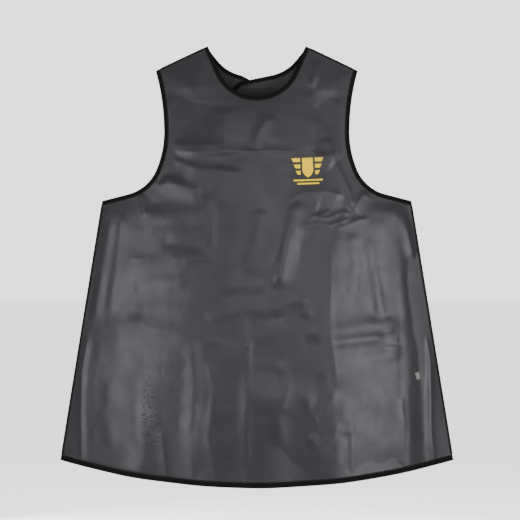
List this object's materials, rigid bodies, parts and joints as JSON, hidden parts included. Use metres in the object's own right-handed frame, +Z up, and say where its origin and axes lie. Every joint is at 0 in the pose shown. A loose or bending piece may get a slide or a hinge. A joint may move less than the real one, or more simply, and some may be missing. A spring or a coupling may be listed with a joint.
{
  "type": "lead apron",
  "caption": "Sleeveless A-line x-ray protection apron: bound front panel over shield plies, crossed mesh back straps with hook-and-loop side tabs.",
  "frame": {"origin": "middle of the shoulder line, on the front face of the outer shell", "axes": "+Z up along the hanging apron, +X to the wearer's left, +Y towards the wearer's back"},
  "size_m": [0.8296, 0.0949, 0.9068],
  "materials": {
    "shell_vinyl": "satin coated cloth with soft storage creases",
    "shield_vinyl": "dense filled vinyl sheet, matt",
    "lining_cloth": "fine plain-weave coated nylon",
    "binding_tape": "ribbed bias tape, folded and stitched",
    "mesh_cloth": "open spacer mesh",
    "pile_loop": "looped pile tape",
    "pile_hook": "moulded hook tape",
    "webbing": "flat woven webbing",
    "thread": "dense zigzag stitching",
    "print_ink": "yellow screen-printed ink",
    "label_cloth": "satin label tape"
  },
  "bodies": {
    "front_panel": {"front_shell": "shell_vinyl", "shield_sheet_front": "shield_vinyl", "shield_sheet_back": "shield_vinyl", "inner_lining": "lining_cloth", "neck_binding": "binding_tape", "hem_binding": "binding_tape", "armhole_binding_left": "binding_tape", "armhole_binding_right": "binding_tape", "side_binding_left": "binding_tape", "side_binding_right": "binding_tape", "shoulder_seam_tape_left": "binding_tape", "shoulder_seam_tape_right": "binding_tape", "loop_patch_left": "pile_loop", "loop_patch_right": "pile_loop", "chest_print": "print_ink", "size_label": "label_cloth"},
    "crossed_straps": {"strap_mesh_left": "mesh_cloth", "strap_mesh_right": "mesh_cloth", "strap_neck_binding_left": "binding_tape", "strap_neck_binding_right": "binding_tape", "strap_outer_binding_left": "binding_tape", "strap_outer_binding_right": "binding_tape", "crossing_bar_tacks": "thread", "hang_loop_tacks": "thread"},
    "strap_end_left": {"end_tab_left": "webbing", "hook_patch_left": "pile_hook"},
    "strap_end_right": {"end_tab_right": "webbing", "hook_patch_right": "pile_hook"},
    "hang_loop_webbing": {"hang_loop": "webbing"}
  },
  "joints": [
    {"name": "shoulder_swing", "type": "hinge", "parent": "front_panel", "child": "crossed_straps", "pos_m": [0, 0.008, 0], "axis": [1, 0, 0], "range_deg": [0, 120]},
    {"name": "strap_end_left_peel", "type": "hinge", "parent": "crossed_straps", "child": "strap_end_left", "pos_m": [0.2502, 0.0426, -0.475], "axis": [0, 0, 1], "range_deg": [0, 120]},
    {"name": "strap_end_right_peel", "type": "hinge", "parent": "crossed_straps", "child": "strap_end_right", "pos_m": [-0.2502, 0.0426, -0.475], "axis": [0, 0, -1], "range_deg": [0, 120]},
    {"name": "hang_loop_flip", "type": "hinge", "parent": "crossed_straps", "child": "hang_loop_webbing", "pos_m": [0, 0.0529, -0.0977], "axis": [1, 0, 0], "range_deg": [0, 150]}
  ]
}
